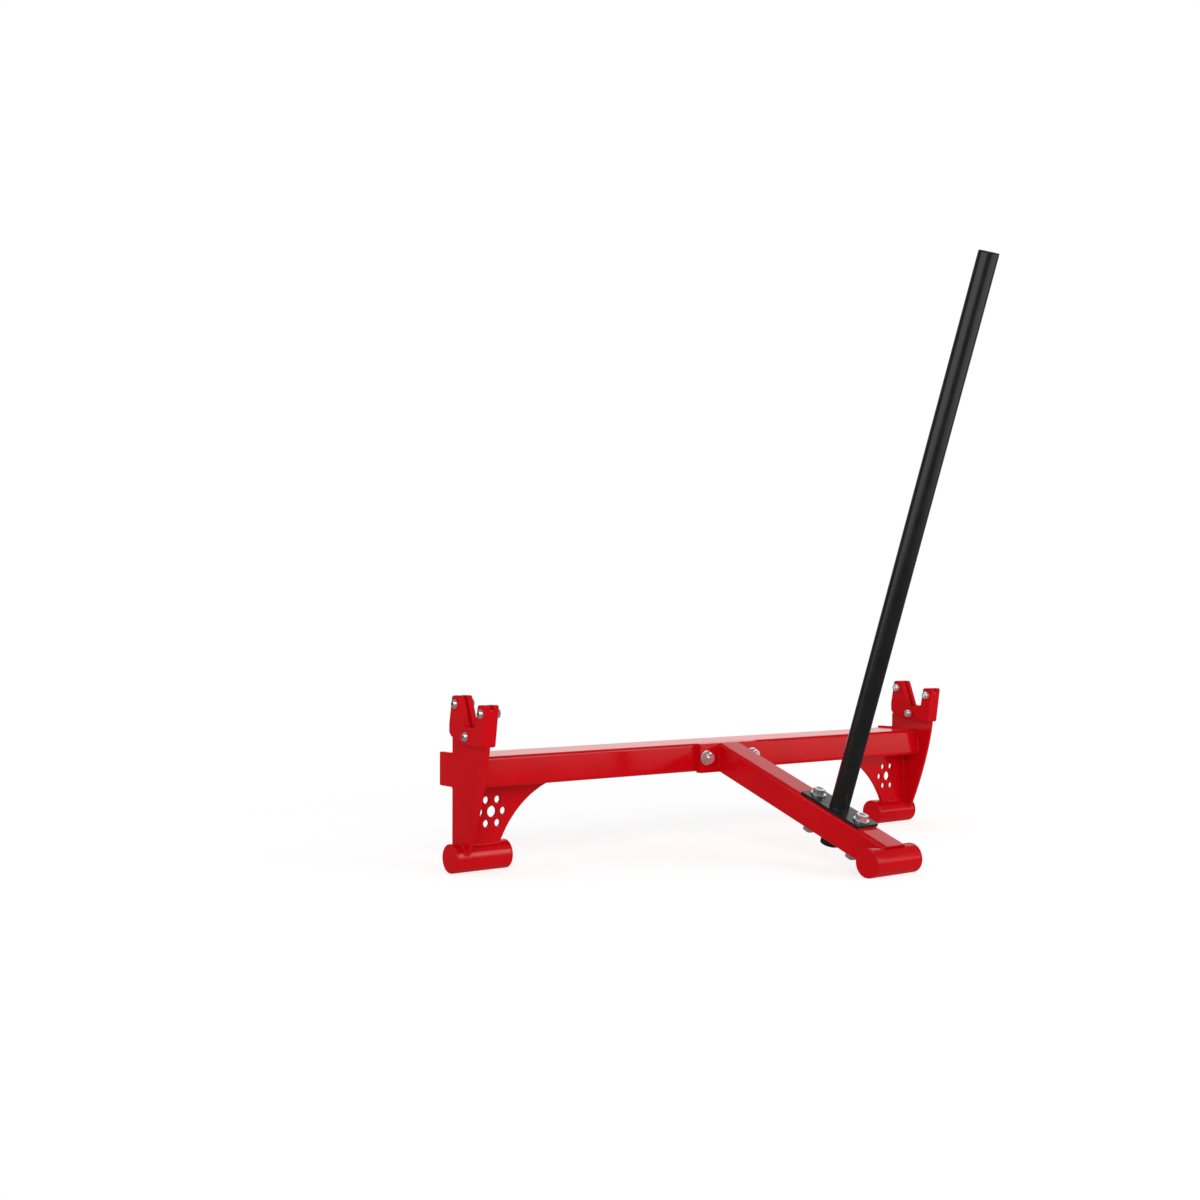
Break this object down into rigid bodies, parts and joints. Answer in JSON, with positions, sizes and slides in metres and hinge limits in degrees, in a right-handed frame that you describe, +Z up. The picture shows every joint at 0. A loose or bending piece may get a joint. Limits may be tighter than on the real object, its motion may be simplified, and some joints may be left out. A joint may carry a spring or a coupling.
{
  "type": "deadlift jack",
  "caption": "Welded steel lever stand that lifts a loaded bar off the floor: lined saddles on a crossbeam, a sloping leg, round feet to rock on and a long bolted handle.",
  "frame": {"origin": "on the floor under the middle of the jack's outline", "axes": "+X along the crossbeam, to the right for a person who looks along +Y; +Y from the handle side to the beam side; +Z up"},
  "size_m": [1.124, 0.731, 0.9869],
  "materials": {
    "red_coat": "gloss red powder coat",
    "red_plastic": "satin red solid plastic",
    "black_coat": "satin black powder coat",
    "black_plastic": "moulded black plastic",
    "zinc": "bright zinc plate"
  },
  "bodies": {
    "root": {"centre_leg": "red_coat", "crossbeam": "red_coat", "front_base_bolt": "zinc", "front_base_head_washer": "zinc", "front_base_nut": "zinc", "front_base_nut_washer": "zinc", "front_foot_left_cap": "red_coat", "front_foot_right_cap": "red_coat", "front_foot_tube": "red_coat", "handle_base_plate": "black_coat", "handle_end_cap": "black_plastic", "handle_tube": "black_coat", "left_back_saddle_bolt": "zinc", "left_back_saddle_nut": "zinc", "left_end_plate": "red_coat", "left_flange_bolt": "zinc", "left_flange_head_washer": "zinc", "left_flange_nut": "zinc", "left_flange_nut_washer": "zinc", "left_horn_saddle_bolt": "zinc", "left_horn_saddle_nut": "zinc", "left_inner_liner": "red_plastic", "left_outer_liner": "red_plastic", "left_rear_foot_inner_cap": "red_coat", "left_rear_foot_outer_cap": "red_coat", "left_rear_foot_tube": "red_coat", "left_seat_saddle_bolt": "zinc", "left_seat_saddle_nut": "zinc", "left_web_gusset": "red_coat", "leg_flange": "red_coat", "rear_base_bolt": "zinc", "rear_base_head_washer": "zinc", "rear_base_nut": "zinc", "rear_base_nut_washer": "zinc", "right_back_saddle_bolt": "zinc", "right_back_saddle_nut": "zinc", "right_end_plate": "red_coat", "right_flange_bolt": "zinc", "right_flange_head_washer": "zinc", "right_flange_nut": "zinc", "right_flange_nut_washer": "zinc", "right_horn_saddle_bolt": "zinc", "right_horn_saddle_nut": "zinc", "right_inner_liner": "red_plastic", "right_outer_liner": "red_plastic", "right_rear_foot_inner_cap": "red_coat", "right_rear_foot_outer_cap": "red_coat", "right_rear_foot_tube": "red_coat", "right_seat_saddle_bolt": "zinc", "right_seat_saddle_nut": "zinc", "right_web_gusset": "red_coat"}
  },
  "joints": []
}
